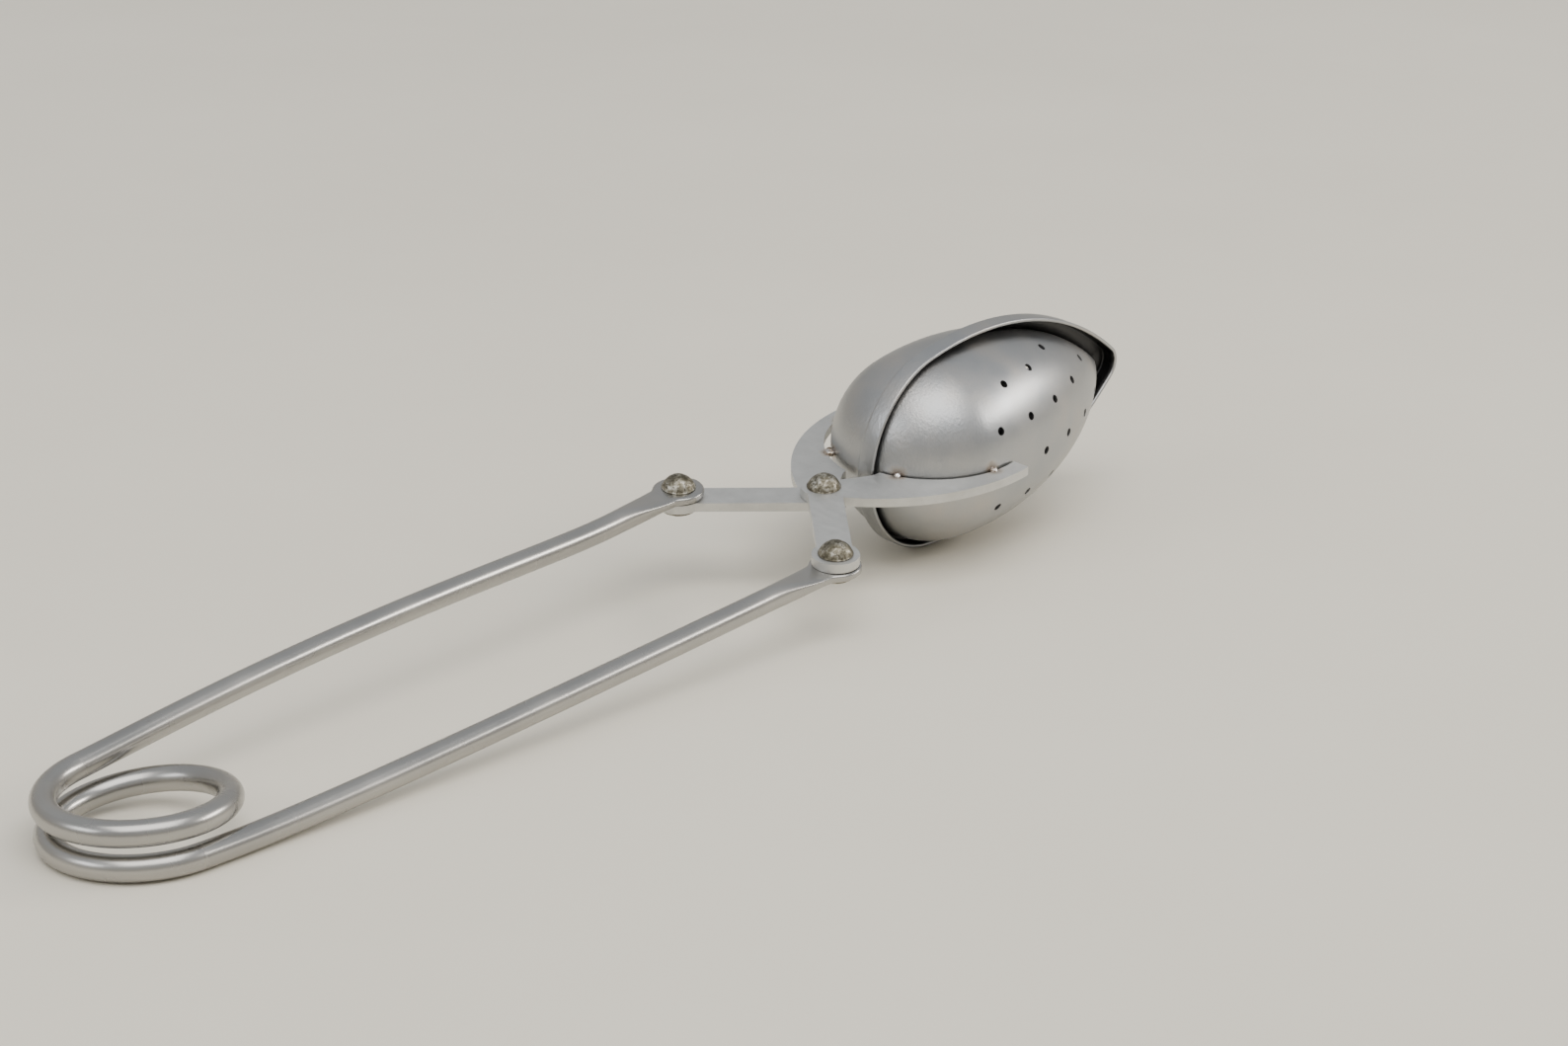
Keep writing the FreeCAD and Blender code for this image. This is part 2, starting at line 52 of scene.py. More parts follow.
# wire handle; a bow is the rise of an arm's middle
WIRE_RADIUS = 1.49
COIL_RADIUS = 9.8
COIL_HEIGHT = 5.8
COIL_RISE = 2.75
COIL_LEAN = math.radians(9.3)
COIL_NOD = math.radians(3.6)
ARM_BEND = 15.0
REAR_ARM_BOW = 1.2
FRONT_ARM_BOW = -0.25
EYELET_RADIUS = 3.29
SHOULDER_START = 1.0
SHOULDER_WIDTH = 0.75
SHOULDER_BLEND = 8
FLAT_START = 3.4
FLAT_END = 12.0
FLAT_SQUARENESS = 2.5
HIDDEN_ARC = math.radians(8)
HIDDEN_SLACK = 0.015
RING_POINTS = 40

# plates and rivets
PLATE = 1.2
PLATE_GAP = 0.05
STACK = PLATE + PLATE_GAP / 2
PLATE_ROUND = 0.12
RIVET_BACK = 12.9
HEAD_RADIUS = 2.2
HEAD_HEIGHT = 1.75
SHANK_RADIUS = 1.25
FOOT_RADIUS = 2.4
FOOT_HEIGHT = 0.9
RIVET_EDGE = 0.12
RIVET_POINTS = 64
DOME_STEPS = 16
RUNNING_FIT = 0.05

# egg: the lip follows the egg's outline, and the two bowls a slimmer one inside it
EGG_BACK = 7.0
EGG_FRONT = 59.2
EGG_WIDEST = 26.4
EGG_HALF = 14.4
BOWL_BACK = 7.95
BOWL_FRONT = 56.0
BOWL_WIDEST = 24.0
BOWL_HALF = 13.0
SIDE_RADIUS = 47.5
BOWL_METAL = 0.45
LIP_METAL = 0.5
LIP_FRONT = 2.05
LIP_BACK = 0.6
LIP_ROUND = 0.45
LIP_CREASE = 0.2
LIP_REACH = 0.3
HOLE_RADIUS = 0.56
HOLE_PITCH = 6.3
# each row: its height in pitches, where it starts along the egg, and its number of holes
HOLE_ROWS = (
    (0.0, 29.9, 4),
    (0.87, 21.2, 5),
    (-0.87, 21.2, 5),
    (1.55, 25.4, 3),
    (-1.55, 25.4, 3),
)

# welds: degrees round the blunt end, and the slot that they bridge
FRONT_WELDS = (22, 80)
REAR_WELDS = (35, 78)
FRONT_SLOT = 0.35
REAR_SLOT = 0.9

# the camera looks at a spot on the floor below the levers
CAMERA_TARGET = Vector((0.0452, 0.0193, 0.0))
CAMERA_AZIMUTH = -138.08
CAMERA_ELEVATION = 19.4
CAMERA_DISTANCE = 0.4746
CAMERA_ROLL = 0.69
CAMERA_LENS = 80.7


# ------------------------------------------------------------------ the frame

def joint(name):
    return next(item for item in frame["joints"] if item["name"] == name)


REAR_RIVET = Vector(joint("rear_jaw_open")["pos_m"])
FRONT_RIVET = Vector(joint("front_jaw_open")["pos_m"])
COIL_CENTRE = Vector(joint("rear_arm_squeeze")["pos_m"])


def mechanism_frame():
    """Millimetres in the mechanism's frame to metres in the row frame."""
    up = Vector(joint("rear_jaw_open")["axis"]).normalized()
    side = (REAR_RIVET - FRONT_RIVET).normalized()
    along = side.cross(up)
    pivot = (REAR_RIVET + FRONT_RIVET) / 2 + along * RIVET_BACK * MM
    turn = Matrix((along, side, up)).transposed().to_4x4()
    return Matrix.Translation(pivot) @ turn @ Matrix.Scale(MM, 4)


TO_ROW = mechanism_frame()
TO_MECHANISM = TO_ROW.inverted()
RIVET_SIDE = (REAR_RIVET - FRONT_RIVET).length / 2 / MM
COIL_BACK = -(TO_MECHANISM @ COIL_CENTRE).x


def new_piece(name, builder, material, body, slot, *nodes):
    """Turns a bmesh drawn in the mechanism's frame into a piece; only its end caps stay flat."""
    for face in builder.faces:
        face.smooth = len(face.verts) <= 4
    mesh = bpy.data.meshes.new(name)
    builder.to_mesh(mesh)
    builder.free()
    mesh.transform(TO_ROW)
    mesh.materials.append(material)
    piece = bpy.data.objects.new(name, mesh)
    bpy.context.scene.collection.objects.link(piece)
    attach(piece, body)
    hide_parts(*nodes)
    return piece


def smoothstep(low, high, value):
    share = min(max((value - low) / (high - low), 0.0), 1.0)
    return share * share * (3 - 2 * share)


# ------------------------------------------------------------------ wire handle

class Sweep:
    """A skin over rings of vertices; "straight" holds each vertex's place on the unbent wire."""

    def __init__(self):
        self.builder = bmesh.new()
        self.straight = self.builder.verts.layers.float_vector.new("straight")
        self.rings = []
        self.length = 0.0
        self.last = None

    def add(self, centre, across, up, half_width, half_height, power=2.0):
        """A superellipse of vertices: power 2 is round, a higher power is squarer."""
        if self.last:
            self.length += (centre - self.last).length
        self.last = centre
        ring = []
        for i in range(RING_POINTS):
            angle = 2 * math.pi * i / RING_POINTS
            c, s = math.cos(angle), math.sin(angle)
            out = math.copysign(abs(c) ** (2 / power), c) * half_width
            rise = math.copysign(abs(s) ** (2 / power), s) * half_height
            vertex = self.builder.verts.new(centre + across * out + up * rise)
            vertex[self.straight] = Vector((self.length, c, s)) * MM
            ring.append(vertex)
        self.rings.append(ring)

    def close(self):
        """Skins the rings so far; rings added later start a length of their own."""
        skin(self.builder, self.rings)
        self.rings = []


def skin(builder, rings):
    """Joins neighbouring rings with quads and closes both ends with sharp-edged caps."""
    for first, second in zip(rings, rings[1:]):
        for i in range(len(first)):
            j = (i + 1) % len(first)
            builder.faces.new((first[i], first[j], second[j], second[i]))
    for cap in (builder.faces.new(rings[0][::-1]), builder.faces.new(rings[-1])):
        for edge in cap.edges:
            edge.smooth = False
    bmesh.ops.recalc_face_normals(builder, faces=builder.faces)


COIL_HALF = COIL_RADIUS * math.cos(COIL_LEAN) + COIL_HEIGHT / 2 * math.sin(COIL_LEAN)
FLARE = math.atan((RIVET_SIDE - COIL_HALF) / (COIL_BACK - RIVET_BACK))
HALF_SWEEP = math.radians(270) - FLARE
COIL_TURN = Matrix.Rotation(COIL_NOD, 3, "Y") @ Matrix.Rotation(-COIL_LEAN, 3, "X")


def coil_point(angle):
    """The wire's centre at an angle about the coil; 360 degrees is its middle."""
    level = (math.radians(360) - angle) / HALF_SWEEP * COIL_HEIGHT / 2
    wound = Vector((COIL_RADIUS * math.cos(angle), COIL_RADIUS * math.sin(angle), level))
    return COIL_TURN @ wound + Vector((-COIL_BACK, 0, COIL_RISE))


def coil_heading(angle):
    """The way the wire runs at an angle about the coil."""
    return (coil_point(angle + 0.001) - coil_point(angle - 0.001)).normalized()


def add_coil_ring(sweep, angle, radius, side=1):
    """One ring square to the wire; side -1 turns it to face the other way along the coil."""
    outwards = COIL_TURN @ Vector((math.cos(angle), math.sin(angle), 0)) * side
    up = coil_heading(angle).cross(outwards).normalized() * -side
    sweep.add(coil_point(angle), outwards, up, radius, radius)


def build_coil(material):
    sweep = Sweep()
    steps = 160
    first = math.radians(360) - HALF_SWEEP
    for i in range(steps + 1):
        add_coil_ring(sweep, first + 2 * HALF_SWEEP * i / steps, WIRE_RADIUS)
    sweep.close()
    new_piece("coil_wire", sweep.builder, material, "coil", "wire", "coil_spring")


def flattened_section(reach):
    """Half width, half height and squareness of the wire at a distance from its rivet."""
    flat = 1 - smoothstep(FLAT_START, FLAT_END, reach)
    height = WIRE_RADIUS + (PLATE / 2 - WIRE_RADIUS) * flat
    disc = math.sqrt(max(EYELET_RADIUS ** 2 - reach ** 2, 0.0))
    if reach > 0:
        neck = WIRE_RADIUS + SHOULDER_WIDTH * (1 - smoothstep(SHOULDER_START, FLAT_END, reach))
        blended = (neck ** SHOULDER_BLEND + disc ** SHOULDER_BLEND) ** (1 / SHOULDER_BLEND)
        disc = min(blended, EYELET_RADIUS)
    return disc, height, 2 + FLAT_SQUARENESS * flat


def build_arm(name, node, side, bow, body, material):
    """One arm: eyelet, flattened neck, bowed wire and a short hidden arc in the coil.

    The wire is a quartic curve, whose middle pole carries 6/16 of the bow.
    """
    sweep = Sweep()
    heading = math.pi + side * FLARE
    back = Vector((math.cos(heading), math.sin(heading), 0))
    across = Vector((-back.y, back.x, 0))
    up = Vector((0, 0, 1))
    eye = Vector((-RIVET_BACK, side * RIVET_SIDE, side * (PLATE + PLATE_GAP) / 2))

    for i in range(1, 20):
        turn = math.pi / 2 * i / 20
        width, height, power = flattened_section(-EYELET_RADIUS * math.cos(turn))
        rounded = height * (0.7 + 0.3 * math.sin(turn))
        sweep.add(eye - back * EYELET_RADIUS * math.cos(turn), across, up, width, rounded, power)
    for i in range(48):
        reach = FLAT_END * i / 48
        sweep.add(eye + back * reach, across, up, *flattened_section(reach))

    last_angle = math.radians(360) - side * HALF_SWEEP
    end = coil_point(last_angle)
    arriving = coil_heading(last_angle) * side
    start = eye + back * FLAT_END
    middle = (start + end) / 2 + up * bow * 16 / 6
    poles = (start, start + back * ARM_BEND, middle, end - arriving * ARM_BEND, end)
    coil_axis = COIL_TURN @ up
    steps = 90
    for i in range(steps + 1):
        share = i / steps
        ahead = bezier(poles, min(share + 0.002, 1)) - bezier(poles, max(share - 0.002, 0))
        aside = up.lerp(coil_axis, share).cross(ahead).normalized()
        rise = ahead.cross(aside).normalized()
        sweep.add(bezier(poles, share), aside, rise, WIRE_RADIUS, WIRE_RADIUS)
    sweep.close()
    for i in range(7):
        hidden_angle = last_angle + side * HIDDEN_ARC * i / 6
        add_coil_ring(sweep, hidden_angle, WIRE_RADIUS - HIDDEN_SLACK, -side)
    sweep.close()
    new_piece(name, sweep.builder, material, body, "wire", node)


def bezier(poles, share):
    """The point at a share of the way along a Bezier curve with any number of poles."""
    while len(poles) > 1:
        poles = [first.lerp(second, share) for first, second in zip(poles, poles[1:])]
    return poles[0]


# ----------------------------------------------------------------------- rivets

def build_rivet(name, node, place, lift, body, material):
    """A domed, slightly hammered rivet head, its shank and its flat foot."""
    dome = (HEAD_RADIUS ** 2 + HEAD_HEIGHT ** 2) / (2 * HEAD_HEIGHT)
    base = STACK + lift
    sole = -STACK - RUNNING_FIT + lift
    widest = math.asin(HEAD_RADIUS / dome) if HEAD_HEIGHT < dome else math.pi / 2
    profile = []
    for i in range(DOME_STEPS + 1):
        slope = widest * max(i, 0.1) / DOME_STEPS
        profile.append((dome * math.sin(slope), base + HEAD_HEIGHT - dome + dome * math.cos(slope)))
    profile += [
        (HEAD_RADIUS + 0.02, base + RIVET_EDGE),
        (HEAD_RADIUS - 0.08, base),
        (SHANK_RADIUS, base),
        (SHANK_RADIUS, sole),
        (FOOT_RADIUS - 0.1, sole),
        (FOOT_RADIUS, sole - RIVET_EDGE),
        (FOOT_RADIUS - 0.15, sole - 0.6 * FOOT_HEIGHT),
        (FOOT_RADIUS - 0.8, sole - FOOT_HEIGHT),
    ]
    builder = bmesh.new()
    rings = []
    for radius, level in profile:
        ring = []
        for i in range(RIVET_POINTS):
            angle = 2 * math.pi * i / RIVET_POINTS
            point = place + Vector((radius * math.cos(angle), radius * math.sin(angle), level))
            if level > base + 0.2:
                point.z -= 0.05 + 0.05 * noise.noise(point * 0.9)
            ring.append(builder.verts.new(point))
        rings.append(ring)
    skin(builder, rings)
    new_piece(name, builder, material, body, "rivet", node)


# -------------------------------------------------------------------------- egg

class Outline:
    """Half an egg outline: a side arc, and end arcs on the axis that are tangent to it."""

    def __init__(self, back, front, widest, half):
        depth = SIDE_RADIUS - half

        def end_radius(reach):
            return (reach ** 2 + depth ** 2 - SIDE_RADIUS ** 2) / (2 * reach - 2 * SIDE_RADIUS)

        self.blunt = end_radius(widest - back)
        self.blunt_centre = back + self.blunt
        tip = end_radius(front - widest)
        tip_centre = front - tip
        blunt_join = math.atan2(depth, self.blunt_centre - widest)
        tip_join = math.atan2(depth, tip_centre - widest)
        self.arcs = (
            (self.blunt_centre, 0.0, self.blunt, math.pi, blunt_join, 40),
            (widest, -depth, SIDE_RADIUS, blunt_join, tip_join, 72),
            (tip_centre, 0.0, tip, tip_join, 0.0, 12),
        )

    def points(self, inset):
        """Points (x, distance from the axis) from the blunt end to the tip."""
        points = []
        for across, up, radius, first, last, steps in self.arcs:
            for i in range(steps):
                angle = first + (last - first) * i / steps
                points.append((across + (radius - inset) * math.cos(angle),
                               up + (radius - inset) * math.sin(angle)))
        across, _, radius = self.arcs[-1][:3]
        points.append((across + radius - inset, 0.0))
        return points

    def loop(self, inset):
        """The whole outline as points (x, z), once around."""
        upper = self.points(inset)
        return upper + [(x, -up) for x, up in reversed(upper[1:-1])]

    def normal(self, point):
        """Outward normal of the turned egg at a point near its wall."""
        away = math.hypot(point.y, point.z)
        for across, up, _, _, last, _ in self.arcs:
            slope = Vector((point.x - across, away - up)).normalized()
            if math.atan2(slope.y, slope.x) >= last:
                break
        if away < 1e-6:
            return Vector((slope.x, 0, 0)).normalized()
        return Vector((slope.x, slope.y * point.y / away, slope.y * point.z / away))

    def radius_at(self, x):
        """Distance of the wall from the axis at x, on the side arc."""
        across, up, radius = self.arcs[1][:3]
        return up + math.sqrt(radius ** 2 - (x - across) ** 2)


EGG = Outline(EGG_BACK, EGG_FRONT, EGG_WIDEST, EGG_HALF)
BOWL = Outline(BOWL_BACK, BOWL_FRONT, BOWL_WIDEST, BOWL_HALF)
AROUND = 96


def shell_surface(builder, side, inset):
    """Half a surface of revolution; returns the grid of vertices, pole rows collapsed."""
    outline = BOWL.points(inset)
    rows = []
    for number, (x, radius) in enumerate(outline):
        if number in (0, len(outline) - 1):
            rows.append([builder.verts.new((x, 0, 0))] * (AROUND + 1))
            continue
        row = []
        for j in range(AROUND + 1):
            angle = math.pi * (j / AROUND - 0.5)
            place = (x, side * radius * math.cos(angle), radius * math.sin(angle))
            row.append(builder.verts.new(place))
        rows.append(row)
    return rows


def add_faces(builder, rows):
    """Fills a grid of vertices; where a row has shrunk to a pole its faces are triangles."""
    for first, second in zip(rows, rows[1:]):
        for j in range(len(first) - 1):
            corners = (first[j], first[j + 1], second[j + 1], second[j])
            builder.faces.new(list(dict.fromkeys(corners)))


def build_shell(name, side, body, material, *nodes):
    """A thin half egg, pierced by its rows of holes."""
    builder = bmesh.new()
    outer = shell_surface(builder, side, 0.0)
    inner = shell_surface(builder, side, BOWL_METAL)
    add_faces(builder, outer)
    add_faces(builder, inner)
    for edge in (0, AROUND):
        add_faces(builder, [[row[edge] for row in outer], [row[edge] for row in inner]])
    bmesh.ops.recalc_face_normals(builder, faces=builder.faces)
    shell = new_piece(name, builder, material, body, "bowl", *nodes)
    pierce(shell, side)
    set_shell_normals(shell)


def pierce(shell, side):
    """Cuts the round holes, each square to the wall."""
    builder = bmesh.new()
    for share, first, count in HOLE_ROWS:
        for i in range(count):
            x, z = first + i * HOLE_PITCH, share * HOLE_PITCH
            centre = Vector((x, side * math.sqrt(BOWL.radius_at(x) ** 2 - z ** 2), z))
            turn = BOWL.normal(centre).to_track_quat("Z", "Y").to_matrix().to_4x4()
            bmesh.ops.create_cone(builder, cap_ends=True, segments=24, radius1=HOLE_RADIUS,
                                  radius2=HOLE_RADIUS, depth=4 * BOWL_METAL,
                                  matrix=Matrix.Translation(centre) @ turn)
    mesh = bpy.data.meshes.new("hole_punch")
    builder.to_mesh(mesh)
    builder.free()
    mesh.transform(TO_ROW)
    punch = bpy.data.objects.new("hole_punch", mesh)
    bpy.context.scene.collection.objects.link(punch)
    cut = shell.modifiers.new("holes", "BOOLEAN")
    cut.operation = "DIFFERENCE"
    cut.solver = "EXACT"
    cut.object = punch
    apply_modifiers(shell)
    bpy.data.objects.remove(punch)


def apply_modifiers(piece):
    """Keeps the mesh that the modifiers make."""
    bpy.context.view_layer.update()
    evaluated = piece.evaluated_get(bpy.context.evaluated_depsgraph_get())
    mesh = bpy.data.meshes.new_from_object(evaluated)
    piece.modifiers.clear()
    old = piece.data
    piece.data = mesh
    bpy.data.meshes.remove(old)


def set_shell_normals(shell):
    """Exact normals on the two walls, flat ones on the rim and inside the holes."""
    mesh = shell.data
    turn = TO_ROW.to_3x3().normalized()
    wall_normals = [turn @ BOWL.normal(TO_MECHANISM @ vertex.co) for vertex in mesh.vertices]
    normals = []
    for polygon in mesh.polygons:
        polygon.use_smooth = True
        for index in polygon.vertices:
            facing = polygon.normal.dot(wall_normals[index])
            on_wall = abs(facing) > 0.85
            smooth = wall_normals[index] * math.copysign(1, facing)
            normals.append(smooth if on_wall else polygon.normal)
    mesh.normals_split_custom_set(normals)


def lip_section():
    """Rows of the lip's surface as (outline, inset, level, painted shade), with its edges rounded over;
    the painted shade darkens the lip's inner wall and floor, where the gap lies in shade.
    """
    half = LIP_METAL / 2
    floor = LIP_BACK - LIP_METAL
    rows = []
    for i in range(9):
        angle = math.pi * i / 8
        rows.append((EGG, half - half * math.cos(angle), half * (1 - math.sin(angle)) - LIP_FRONT, 0.0))
    # painted shade: the inner wall and the floor of the lip are darkened in colour to stand in for the
    # shadowed gap
    rows.append((EGG, LIP_METAL, 0.4 - LIP_FRONT, 0.6))
    rows.append((EGG, LIP_METAL, 0.8 - LIP_FRONT, 1.0))
    for i in range(5):
        angle = math.pi / 2 * i / 4
        inset, drop = LIP_CREASE * (1 - math.cos(angle)), LIP_CREASE * (1 - math.sin(angle))
        rows.append((EGG, LIP_METAL + inset, floor - drop, 1.0))
    rows.append((BOWL, LIP_REACH, floor, 1.0))
    rows.append((BOWL, LIP_REACH, LIP_BACK, 0.0))
    for i in range(7):
        angle = math.pi / 2 * (1 - i / 6)
        inset, drop = LIP_ROUND * (1 - math.cos(angle)), LIP_ROUND * (1 - math.sin(angle))
        rows.append((EGG, inset, LIP_BACK - drop, 0.0))
    return rows


def build_lip(material):
    """The rear bowl's stepped edge, which the front bowl closes into."""
    builder = bmesh.new()
    # a vertex weight of painted shade, which darkens the inside of the lip where the gap is in shade
    painted_shade = builder.verts.layers.float.new("painted_shade")
    loops = []
    for outline, inset, level, shade_weight in lip_section():
        loop = [builder.verts.new((x, level, z)) for x, z in outline.loop(inset)]
        for vertex in loop:
            vertex[painted_shade] = shade_weight
        loops.append(loop)
    for first, second in zip(loops, loops[1:] + loops[:1]):
        for i in range(len(first)):
            j = (i + 1) % len(first)
            builder.faces.new((first[i], first[j], second[j], second[i]))
    bmesh.ops.recalc_face_normals(builder, faces=builder.faces)
    new_piece("rear_bowl_lip", builder, material, "rear_jaw", "bowl", "rear_bowl")


# ------------------------------------------------------------------------ welds

def weld_place(side, slot, top, angle):
    """A weld's centre, in the slot between a bowl's blunt end and its finger."""
    reach = BOWL.blunt + slot / 2
    turn = math.radians(180 - side * angle)
    return Vector((BOWL.blunt_centre + reach * math.cos(turn), reach * math.sin(turn), top))


FRONT_SPOTS = [weld_place(-1, FRONT_SLOT, STACK, angle) for angle in FRONT_WELDS]
REAR_SPOTS = [weld_place(1, REAR_SLOT, -PLATE_GAP / 2, angle) for angle in REAR_WELDS]


def build_welds(name, node, spots, radius, body, material):
    """Small uneven beads of weld metal."""
    builder = bmesh.new()
    for spot in spots:
        made = bmesh.ops.create_icosphere(builder, subdivisions=4, radius=1.0)
        for vertex in made["verts"]:
            direction = vertex.co.normalized()
            swell = 1 + 0.22 * noise.noise(direction * 1.7 + spot)
            along = direction * radius * swell
            vertex.co = spot + Vector((along.x, along.y, along.z * 0.75))
    new_piece(name, builder, material, body, "weld", node)


# -------------------------------------------------------------------- materials

class Nodes:
    """A short way to write a material's node tree; lengths in it are in metres."""

    def __init__(self, name):
        self.material = bpy.data.materials.new(name)
        self.material.use_nodes = True
        self.tree = self.material.node_tree
        self.shader = self.tree.nodes["Principled BSDF"]
        self.place = self.add("ShaderNodeTexCoord").outputs["Object"]

    def add(self, kind, **settings):
        node = self.tree.nodes.new(kind)
        for key, setting in settings.items():
            setattr(node, key, setting)
        return node

    def link(self, output, socket):
        self.tree.links.new(output, socket)

    def stretch(self, scale, turn=(0, 0, 0)):
        mapping = self.add("ShaderNodeMapping")
        mapping.inputs["Rotation"].default_value = turn
        mapping.inputs["Scale"].default_value = scale
        self.link(self.place, mapping.inputs["Vector"])
        return mapping.outputs["Vector"]

    def noise(self, scale, detail=4.0, rough=0.5, vector=None):
        node = self.add("ShaderNodeTexNoise")
        node.inputs["Scale"].default_value = scale
        node.inputs["Detail"].default_value = detail
        node.inputs["Roughness"].default_value = rough
        self.link(vector or self.place, node.inputs["Vector"])
        return node.outputs["Fac"]

    def ramp(self, value, *stops):
        node = self.add("ShaderNodeValToRGB")
        elements = node.color_ramp.elements
        while len(elements) < len(stops):
            elements.new(0.5)
        for element, (position, colour) in zip(elements, stops):
            element.position = position
            element.color = (*colour, 1) if isinstance(colour, tuple) else (colour,) * 3 + (1,)
        self.link(value, node.inputs["Fac"])
        return node.outputs["Color"]

    def remap(self, value, low, high, to_low, to_high):
        node = self.add("ShaderNodeMapRange")
        for socket, number in zip(node.inputs[1:5], (low, high, to_low, to_high)):
            socket.default_value = number
        self.link(value, node.inputs["Value"])
        return node.outputs["Result"]

    def mix(self, share, first, second, blend="MIX"):
        node = self.add("ShaderNodeMix", data_type="RGBA", blend_type=blend)
        for number, value in ((0, share), (6, first), (7, second)):
            socket = node.inputs[number]
            if isinstance(value, bpy.types.NodeSocket):
                self.link(value, socket)
            else:
                socket.default_value = value
        return node.outputs[2]

    def bump(self, height, distance, strength=1.0, under=None):
        node = self.add("ShaderNodeBump")
        node.inputs["Strength"].default_value = strength
        node.inputs["Distance"].default_value = distance
        self.link(height, node.inputs["Height"])
        if under:
            self.link(under, node.inputs["Normal"])
        return node.outputs["Normal"]

    def metal(self, colour, roughness, normal, anisotropic=0.0):
        self.shader.inputs["Metallic"].default_value = 1.0
        self.shader.inputs["Anisotropic"].default_value = anisotropic
        self.link(colour, self.shader.inputs["Base Color"])
        self.link(roughness, self.shader.inputs["Roughness"])
        self.link(normal, self.shader.inputs["Normal"])
        return self.material


def heat_tint(nodes, colour, spots, reach):
    """Brown, straw and blue-grey rings of heat tint around each weld."""
    for spot in spots:
        away = nodes.add("ShaderNodeVectorMath", operation="DISTANCE")
        away.inputs[1].default_value = TO_ROW @ spot
        nodes.link(nodes.place, away.inputs[0])
        wobble = nodes.remap(nodes.noise(900), 0.3, 0.7, 0.8, 1.25)
        scaled = nodes.add("ShaderNodeMath", operation="MULTIPLY")
        nodes.link(away.outputs["Value"], scaled.inputs[0])
        nodes.link(wobble, scaled.inputs[1])
        share = nodes.remap(scaled.outputs[0], 0, reach * MM, 0, 1)
        tint = nodes.ramp(share, (0.25, (0.14, 0.11, 0.09)), (0.45, (0.34, 0.25, 0.17)),
                          (0.62, (0.58, 0.52, 0.44)), (0.8, (0.55, 0.57, 0.62)))
        amount = nodes.ramp(share, (0.25, 0.7), (0.9, 0.0))
        colour = nodes.mix(amount, colour, tint)
    return colour


def wire_material():
    """Drawn wire: faint lengthwise streaks, satin sheen and a few small nicks."""
    nodes = Nodes("drawn_wire")
    nodes.place = nodes.add("ShaderNodeAttribute", attribute_name="straight").outputs["Vector"]
    streaks = nodes.noise(1800, 2, 0.5, nodes.stretch((0.02, 1, 1)))
    cloud = nodes.noise(110, 3)
    nicks = nodes.noise(1300, 3, 0.5, nodes.stretch((0.4, 1, 1)))
    colour = nodes.ramp(cloud, (0.3, (0.39, 0.385, 0.375)), (0.7, (0.45, 0.44, 0.42)))
    colour = nodes.mix(nodes.ramp(streaks, (0.4, 0.0), (0.7, 0.3)), colour, (0.31, 0.30, 0.285, 1))
    colour = nodes.mix(nodes.ramp(nicks, (0.72, 0.0), (0.80, 0.5)), colour, (0.33, 0.31, 0.29, 1))
    roughness = nodes.remap(cloud, 0.3, 0.7, 0.24, 0.31)
    normal = nodes.bump(streaks, 0.000002, 0.5)
    return nodes.metal(colour, roughness, normal)


def plate_material():
    """Sheared, tumbled sheet: matte, faintly mottled, scuffed along its edges."""
    nodes = Nodes("sheared_plate")
    mottle = nodes.noise(420, 5, 0.6)
    scuffs = nodes.noise(1500, 4, 0.6, nodes.stretch((1, 0.15, 1), (0, 0, 0.7)))
    specks = nodes.noise(2600, 3, 0.5)
    colour = nodes.ramp(mottle, (0.3, (0.58, 0.58, 0.565)), (0.7, (0.66, 0.66, 0.645)))
    colour = nodes.mix(nodes.ramp(specks, (0.68, 0.0), (0.75, 0.5)), colour, (0.30, 0.28, 0.27, 1))
    colour = heat_tint(nodes, colour, FRONT_SPOTS + REAR_SPOTS, 2.2)
    roughness = nodes.remap(scuffs, 0.3, 0.7, 0.46, 0.58)
    normal = nodes.bump(nodes.noise(3200, 4, 0.6), 0.00002, 0.5)
    return nodes.metal(colour, roughness, normal)


def bowl_material():
    """Pressed sheet: satin, rippled where the blunt end was drawn deepest, with painted shade inside
    the lip.
    """
    nodes = Nodes("pressed_bowl")
    cloud = nodes.noise(140, 4, 0.55)
    grain = nodes.noise(5200, 3, 0.6)
    peel = nodes.noise(1700, 3, 0.55, nodes.stretch((1.6, 1.6, 0.8)))
    separate = nodes.add("ShaderNodeSeparateXYZ")
    nodes.link(nodes.place, separate.inputs[0])
    blunt = (TO_ROW @ Vector((EGG_BACK, 0, 0))).x
    drawn = nodes.remap(separate.outputs["X"], blunt + 0.004, blunt + 0.017, 1, 0)
    colour = nodes.ramp(cloud, (0.3, (0.38, 0.395, 0.415)), (0.5, (0.43, 0.435, 0.44)),
                        (0.72, (0.48, 0.46, 0.44)))
    colour = nodes.mix(nodes.ramp(grain, (0.4, 0.0), (0.75, 0.3)), colour, (0.36, 0.37, 0.38, 1))
    colour = heat_tint(nodes, colour, FRONT_SPOTS + REAR_SPOTS, 2.0)
    # painted shade: near-black is mixed in by the lip's vertex weight, standing in for the shadowed gap
    # inside the lip
    painted_shade = nodes.add("ShaderNodeAttribute", attribute_name="painted_shade").outputs["Fac"]
    colour = nodes.mix(painted_shade, colour, (0.04, 0.04, 0.042, 1))
    roughness = nodes.remap(cloud, 0.3, 0.7, 0.33, 0.42)
    fine = nodes.bump(grain, 0.000012, 0.5)
    height = nodes.add("ShaderNodeMath", operation="MULTIPLY")
    nodes.link(peel, height.inputs[0])
    nodes.link(drawn, height.inputs[1])
    normal = nodes.bump(height.outputs[0], 0.00007, 0.7, fine)
    return nodes.metal(colour, roughness, normal)


